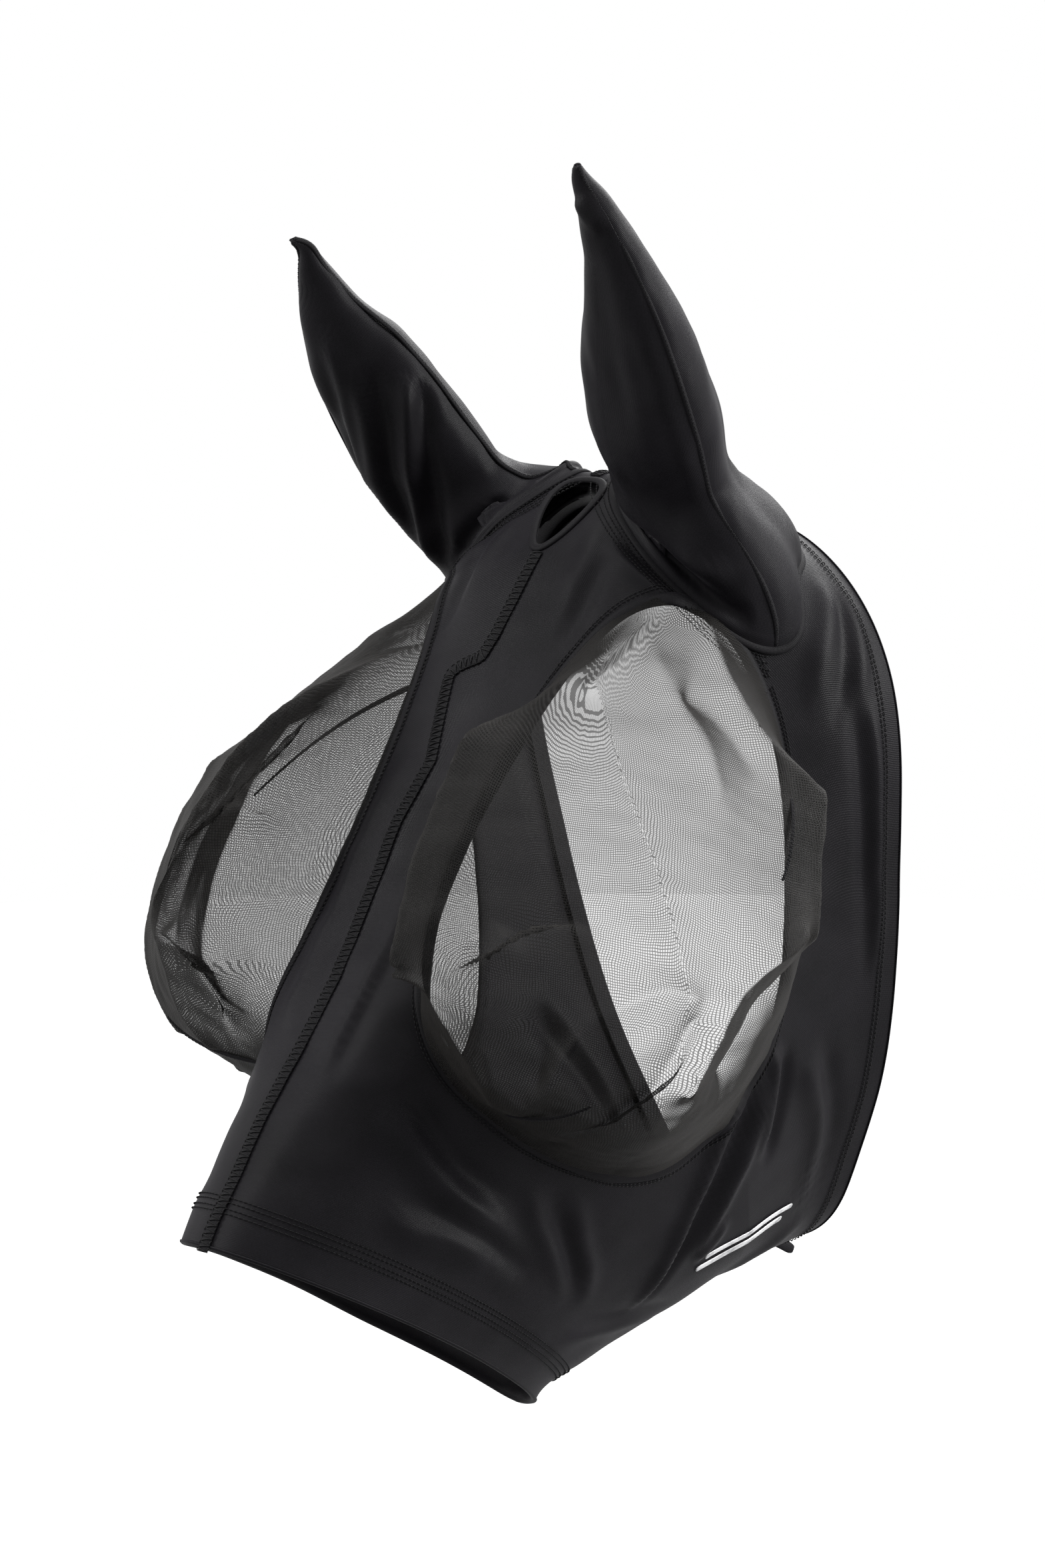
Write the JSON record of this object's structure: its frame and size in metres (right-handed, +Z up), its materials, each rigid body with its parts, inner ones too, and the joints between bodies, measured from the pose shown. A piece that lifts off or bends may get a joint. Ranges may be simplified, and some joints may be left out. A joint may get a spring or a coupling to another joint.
{
  "type": "fly mask",
  "caption": "Pull-on stretch fabric fly mask for a horse, with domed mesh eye covers, closed ear sleeves, a forelock hole and turned hems at nose and neck.",
  "frame": {"origin": "the poll: the point of the crown between the two ears, on the midline, where the mask hangs on the head", "axes": "+Z up, the nose points to -Y, the horse's left is +X"},
  "size_m": [0.399, 0.4118, 0.6387],
  "materials": {
    "lycra": "black stretch knit with a soft sheen",
    "lycra_trim": "the same black stretch knit, folded double",
    "eye_mesh": "fine black see-through net",
    "thread": "black sewing thread",
    "elastic": "woven black elastic",
    "reflective_strip": "plain silver reflective film"
  },
  "bodies": {
    "hood": {"crown_seam": "thread", "face_seam": "thread", "forelock_binding": "lycra_trim", "jaw_seam": "thread", "left_ear_base_seam": "thread", "left_ear_base_stitching": "thread", "left_eye_binding": "lycra_trim", "left_eye_front_dart": "thread", "left_eye_mesh": "eye_mesh", "left_eye_rear_dart": "thread", "left_eye_stitching": "thread", "left_reflective_strip_lower": "reflective_strip", "left_reflective_strip_upper": "reflective_strip", "left_side_panel": "lycra", "neck_hem_elastic": "elastic", "neck_hem_facing": "lycra_trim", "neck_hem_stitching": "thread", "nose_hem_elastic": "elastic", "nose_hem_facing": "lycra_trim", "nose_hem_stitching": "thread", "poll_elastic": "elastic", "right_ear_base_seam": "thread", "right_ear_base_stitching": "thread", "right_eye_binding": "lycra_trim", "right_eye_front_dart": "thread", "right_eye_mesh": "eye_mesh", "right_eye_rear_dart": "thread", "right_eye_stitching": "thread", "right_side_panel": "lycra", "throat_seam_tail": "lycra_trim"},
    "left_ear": {"left_ear_back": "lycra", "left_ear_front": "lycra", "left_ear_seam": "thread"},
    "right_ear": {"right_ear_back": "lycra", "right_ear_front": "lycra", "right_ear_seam": "thread"}
  },
  "joints": [
    {"name": "left_ear_pivot", "type": "hinge", "parent": "hood", "child": "left_ear", "pos_m": [0.0857, 0.0346, -0.021], "axis": [-0.6926, -0.177, 0.6993], "range_deg": [-10, 45], "stiffness_Nm_per_rad": 0.12},
    {"name": "right_ear_pivot", "type": "hinge", "parent": "hood", "child": "right_ear", "pos_m": [-0.0857, 0.0346, -0.021], "axis": [-0.6926, 0.177, -0.6993], "range_deg": [-10, 45], "stiffness_Nm_per_rad": 0.12}
  ]
}
